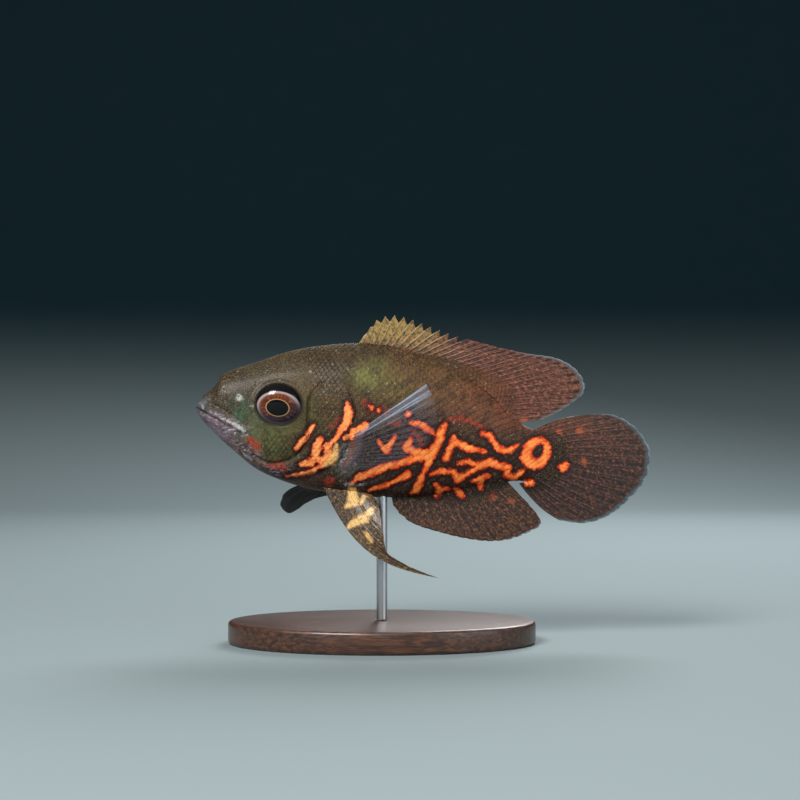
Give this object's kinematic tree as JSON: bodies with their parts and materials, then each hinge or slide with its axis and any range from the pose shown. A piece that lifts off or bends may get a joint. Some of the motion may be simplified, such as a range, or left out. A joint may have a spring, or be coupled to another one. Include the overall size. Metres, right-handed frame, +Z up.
{
  "type": "tiger oscar cichlid fish model",
  "caption": "Still life-size model of a young tiger oscar, a freshwater cichlid, swimming nose up with fins spread, on a rod over an oval base.",
  "frame": {"origin": "centre of the stand base's flat underside", "axes": "+Z up; the fish's head points to -X and its tail to +X, its left side faces -Y and its right side +Y"},
  "size_m": [0.1004, 0.044, 0.0726],
  "materials": {
    "skin_head": "moist fish skin, olive grey-brown, finely scaled on the cheek and gill cover, satin gloss",
    "skin_body": "overlapping small scales, dark brown with bright orange wavy marks, satin gloss",
    "fin": "rayed membrane, reddish dark brown, olive and gold flecks, pale grey-blue rim, satin",
    "fin_clear": "thin see-through rayed membrane, bluish grey, satin",
    "eye": "wet and glossy, orange-brown iris with a pale lavender rim, black pupil",
    "base_wood": "dark stained wood, satin varnish",
    "rod_steel": "brushed steel"
  },
  "bodies": {
    "root": {"head": "skin_head", "lower_jaw": "skin_head", "gill_cover_left": "skin_head", "gill_cover_right": "skin_head", "trunk": "skin_body", "tail_stem": "skin_body", "eye_left": "eye", "eye_right": "eye", "dorsal_fin": "fin", "anal_fin": "fin", "caudal_fin": "fin", "pelvic_fin_left": "fin", "pelvic_fin_right": "fin", "pectoral_fin_left": "fin_clear", "pectoral_fin_right": "fin_clear", "stand_base": "base_wood", "stand_rod": "rod_steel"}
  },
  "joints": []
}
